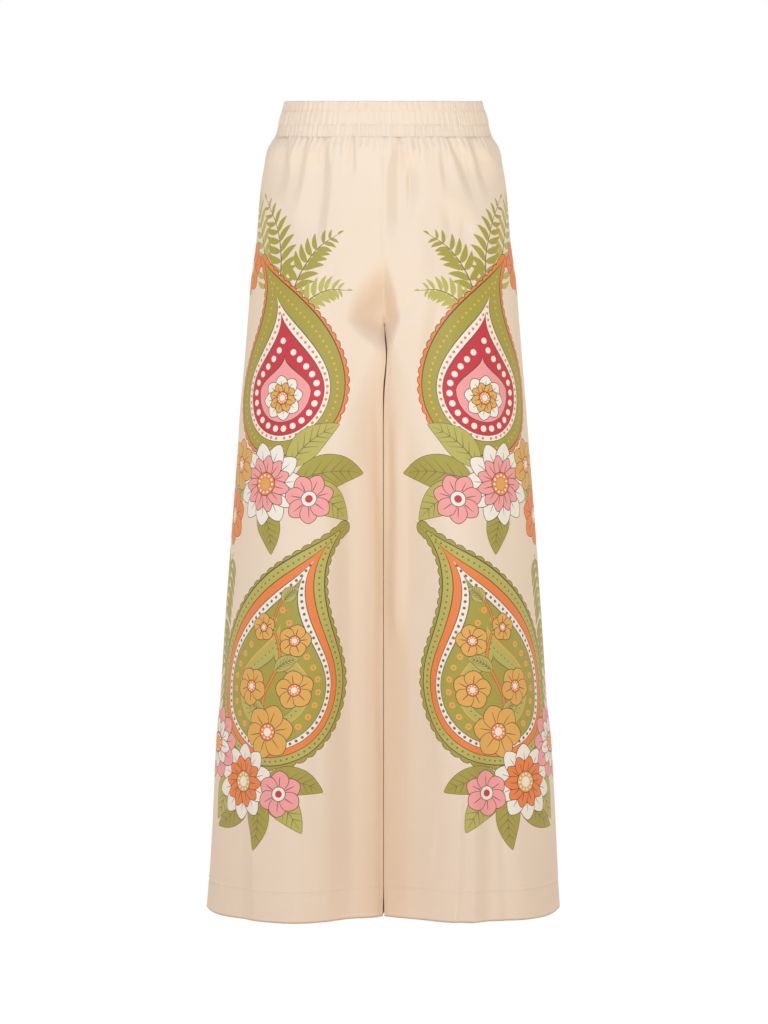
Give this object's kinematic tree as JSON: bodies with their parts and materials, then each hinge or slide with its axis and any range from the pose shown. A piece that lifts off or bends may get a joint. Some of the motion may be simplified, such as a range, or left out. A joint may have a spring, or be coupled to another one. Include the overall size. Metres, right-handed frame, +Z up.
{
  "type": "palazzo pants",
  "caption": "Wide-legged pull-on palazzo pants in thin printed silk, with a gathered elastic waistband in three puffed channels and turned-up stitched hems, filled out as worn.",
  "frame": {"origin": "middle of the waist opening, halfway up the waistband, where a wearer or a hanger's clips hold the garment", "axes": "+Z up out of the waist opening; the front of the garment faces -Y; +X is towards the wearer's left leg"},
  "size_m": [0.4652, 0.2765, 1.0665],
  "materials": {
    "waistband_silk": "gathered silk, soft sheen",
    "leg_silk": "silk with a soft sheen"
  },
  "bodies": {
    "root": {"waistband": "waistband_silk", "leg_front_left_upper": "leg_silk", "leg_front_left_middle": "leg_silk", "leg_front_left_lower": "leg_silk", "leg_front_right_upper": "leg_silk", "leg_front_right_middle": "leg_silk", "leg_front_right_lower": "leg_silk", "leg_back_left_upper": "leg_silk", "leg_back_left_middle": "leg_silk", "leg_back_left_lower": "leg_silk", "leg_back_right_upper": "leg_silk", "leg_back_right_middle": "leg_silk", "leg_back_right_lower": "leg_silk"}
  },
  "joints": []
}
